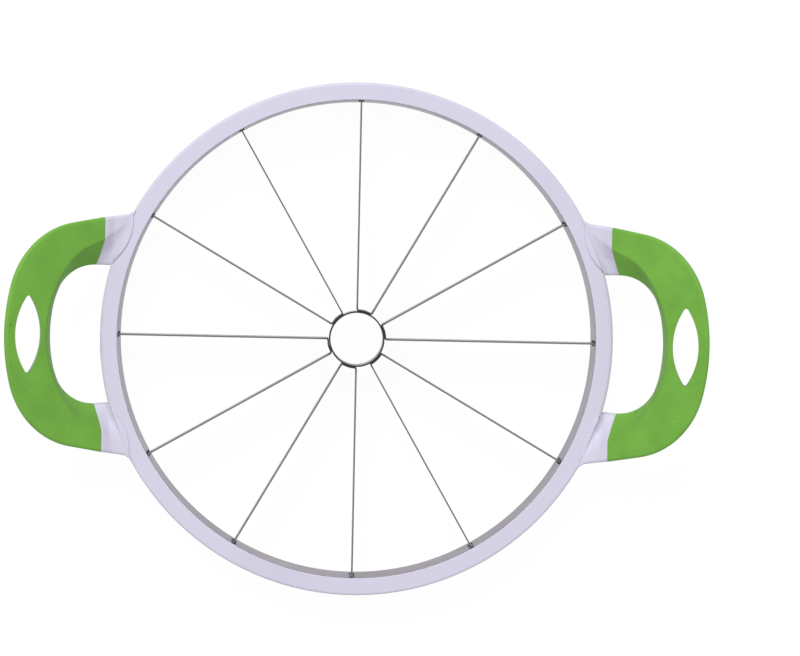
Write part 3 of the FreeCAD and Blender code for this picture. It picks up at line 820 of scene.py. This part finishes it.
def weld_place(azimuth, radius, height):
    """A placement on an upright cylinder, facing outwards."""
    outwards = Matrix.Rotation(math.radians(90), 4, "Y")
    turn = Matrix.Rotation(azimuth, 4, "Z")
    return turn @ Matrix.Translation((radius, 0, height)) @ outwards


# Studio: floor, room light, softbox and camera
def floor_material(studio):
    """A pale matt floor that the camera and the steel see brighter than it is lit."""
    material, shader = new_material("studio_floor")
    tree = material.node_tree
    glow = remap(tree, seen_rays(tree), 0.0, 1.0, studio.floor_bounce, studio.floor_glow)
    set_inputs(
        tree,
        shader,
        {
            "Base Color": opaque(studio.floor_colour),
            "Roughness": 1.0,
            "Specular IOR Level": 0.0,
            "Emission Color": (1, 1, 1, 1),
            "Emission Strength": glow,
        },
    )
    return material


def add_floor(studio):
    """A floor a hair below the ring, so that the two don't share a plane."""
    mesh = bmesh.new()
    bmesh.ops.create_grid(mesh, x_segments=2, y_segments=2, size=studio.floor_size / 2)
    bmesh.ops.translate(mesh, verts=mesh.verts[:], vec=(0, 0, -FLOOR_DROP))
    add_mesh("studio_floor", mesh, floor_material(studio))


def light_room(studio):
    """An even room: a plain level for what it lights, and white for what looks at it."""
    world = bpy.data.worlds.new("studio_room")
    world.use_nodes = True
    bpy.context.scene.world = world
    tree = world.node_tree
    tree.nodes.clear()
    room = add_node(tree, "ShaderNodeBackground", {"Color": (1, 1, 1, 1), "Strength": studio.sky_strength})
    white = add_node(tree, "ShaderNodeBackground", {"Color": (1, 1, 1, 1), "Strength": 1.0})
    choice = add_node(tree, "ShaderNodeMixShader", {0: seen_rays(tree)})
    tree.links.new(room.outputs[0], choice.inputs[1])
    tree.links.new(white.outputs[0], choice.inputs[2])
    add_node(tree, "ShaderNodeOutputWorld", {"Surface": choice.outputs[0]})


def looking_at(eye, target, roll):
    """A placement at the eye that looks at the target, turned about the line of sight."""
    forward = (target - eye).normalized()
    upwards = Vector((-math.sin(roll), math.cos(roll), 0))
    right = forward.cross(upwards).normalized()
    matrix = Matrix((right, right.cross(forward), -forward)).transposed().to_4x4()
    matrix.translation = eye
    return matrix


def add_softbox(studio):
    data = bpy.data.lights.new("softbox", "AREA")
    data.size = studio.lamp_size
    data.energy = studio.lamp_power
    lamp = add_object("softbox", data)
    lamp.matrix_world = looking_at(Vector(studio.lamp_place), Vector((0, 0, 0)), 0)


def add_camera(studio):
    data = bpy.data.cameras.new("camera")
    data.sensor_width = SENSOR_WIDTH
    data.lens = studio.focal_length
    camera = add_object("camera", data)
    eye = Vector((*studio.camera_foot, RING_TOP + studio.camera_height))
    aim = Vector((*studio.camera_aim, RING_TOP))
    camera.matrix_world = looking_at(eye, aim, studio.camera_roll)
    bpy.context.scene.camera = camera


class SLICER_OT_dress_ring(Operator):
    """Give the moulded ring and its cover their satin plastic"""

    bl_idname = "slicer.dress_ring"
    bl_label = "Ring and cover"

    def execute(self, context):
        dress(["frame_shell", "base_cover"], moulded_white(context.scene.slicer_finishes))
        return {"FINISHED"}


class SLICER_OT_dress_grips(Operator):
    """Give both sleeves their soft green finish"""

    bl_idname = "slicer.dress_grips"
    bl_label = "Grips"

    def execute(self, context):
        dress(["left_grip", "right_grip"], soft_green(context.scene.slicer_finishes))
        return {"FINISHED"}


class SLICER_OT_dress_steel(Operator):
    """Give the hoop, the blades and the coring tube their rolled and ground steel"""

    bl_idname = "slicer.dress_steel"
    bl_label = "Steel"

    def execute(self, context):
        finishes = context.scene.slicer_finishes
        shoulder = BLADE_BASE + context.scene.slicer_steel.bevel_height
        dress(BLADE_PAIRS + ["hub_tube"], blade_steel(finishes, shoulder))
        dress(["rim_band"], hoop_steel(finishes))
        return {"FINISHED"}


class SLICER_OT_build_welds(Operator):
    """Press the spot weld marks into the strips round the coring tube"""

    bl_idname = "slicer.build_welds"
    bl_label = "Weld marks"

    def execute(self, context):
        sizes = context.scene.slicer_steel
        material = weld_steel(context.scene.slicer_finishes)
        radius = HUB_RADIUS + WRAP_GAP + sizes.strip_thickness
        pitch = math.pi / len(BLADE_PAIRS)
        for number in range(len(BLADE_PAIRS)):
            mesh = bmesh.new()
            azimuth = (2 * number + 0.5) * pitch
            for share in WELD_PLACES:
                height = BLADE_BASE + share * (BLADE_TOP - BLADE_BASE)
                add_weld(mesh, sizes, weld_place(azimuth, radius, height))
            new_piece(f"weld_marks_{number + 1}", mesh, material)
        return {"FINISHED"}


class SLICER_OT_build_screws(Operator):
    """Build the cover's screws with their cross recesses and threads"""

    bl_idname = "slicer.build_screws"
    bl_label = "Cover screws"

    def execute(self, context):
        material = plated_steel(context.scene.slicer_finishes)
        for name in SCREWS:
            low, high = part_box(name)
            middle = (low + high) / 2
            mesh = screw_mesh(context.scene.slicer_screws, (high.x - low.x) / 2, high.z - low.z)
            bmesh.ops.translate(mesh, verts=mesh.verts[:], vec=(middle.x, middle.y, low.z))
            piece = new_piece(name.replace("cover_screw", "threaded_screw"), mesh, material)
            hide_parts(name)
        return {"FINISHED"}


class SLICER_OT_build_studio(Operator):
    """Set up the floor, the light and the camera"""

    bl_idname = "slicer.build_studio"
    bl_label = "Studio"

    def execute(self, context):
        studio = context.scene.slicer_studio
        add_floor(studio)
        light_room(studio)
        add_softbox(studio)
        add_camera(studio)
        context.scene.view_settings.view_transform = "Standard"
        return {"FINISHED"}


OPERATORS = (
    SLICER_OT_dress_ring,
    SLICER_OT_dress_grips,
    SLICER_OT_dress_steel,
    SLICER_OT_build_welds,
    SLICER_OT_build_screws,
    SLICER_OT_build_studio,
)


class SLICER_PT_pieces(Panel):
    bl_label = "Melon slicer"
    bl_space_type = "VIEW_3D"
    bl_region_type = "UI"
    bl_category = "Melon slicer"

    def draw(self, context):
        for operator in OPERATORS:
            self.layout.operator(operator.bl_idname)


GROUPS = {
    "slicer_finishes": SlicerFinishes,
    "slicer_steel": SlicerSteel,
    "slicer_screws": SlicerScrews,
    "slicer_studio": SlicerStudio,
}


def register():
    for cls in (*GROUPS.values(), *OPERATORS, SLICER_PT_pieces):
        bpy.utils.register_class(cls)
    for name, group in GROUPS.items():
        setattr(bpy.types.Scene, name, PointerProperty(type=group))


def unregister():
    for name in GROUPS:
        delattr(bpy.types.Scene, name)
    for cls in reversed((*GROUPS.values(), *OPERATORS, SLICER_PT_pieces)):
        bpy.utils.unregister_class(cls)


def main():
    register()
    for operator in OPERATORS:
        family, name = operator.bl_idname.split(".")
        getattr(getattr(bpy.ops, family), name)()


if __name__ == "__main__":
    main()
